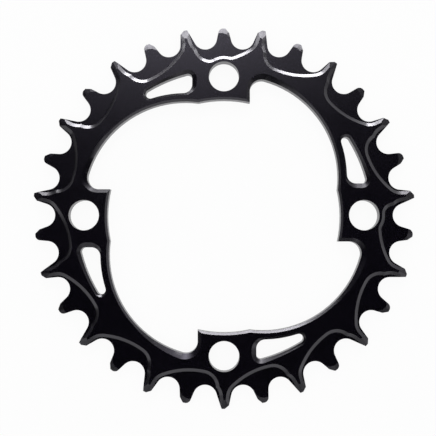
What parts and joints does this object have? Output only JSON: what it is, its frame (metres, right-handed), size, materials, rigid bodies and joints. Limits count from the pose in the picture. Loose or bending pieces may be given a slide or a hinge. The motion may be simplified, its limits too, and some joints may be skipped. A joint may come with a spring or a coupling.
{
  "type": "bicycle chainring",
  "caption": "Single-speed narrow-wide bicycle chainring in black anodised aluminium, with bolt tabs on the inside, chain pockets round the narrow teeth and lightening slots.",
  "frame": {"origin": "centre of the bolt circle, on the back face", "axes": "+Z along the ring's axis, out of the front face; +X through one bolt hole and +Y through the next"},
  "size_m": [0.1283, 0.1282, 0.0038],
  "materials": {
    "black_anodised": "black anodised, satin"
  },
  "bodies": {
    "root": {"chainring": "black_anodised"}
  },
  "joints": []
}
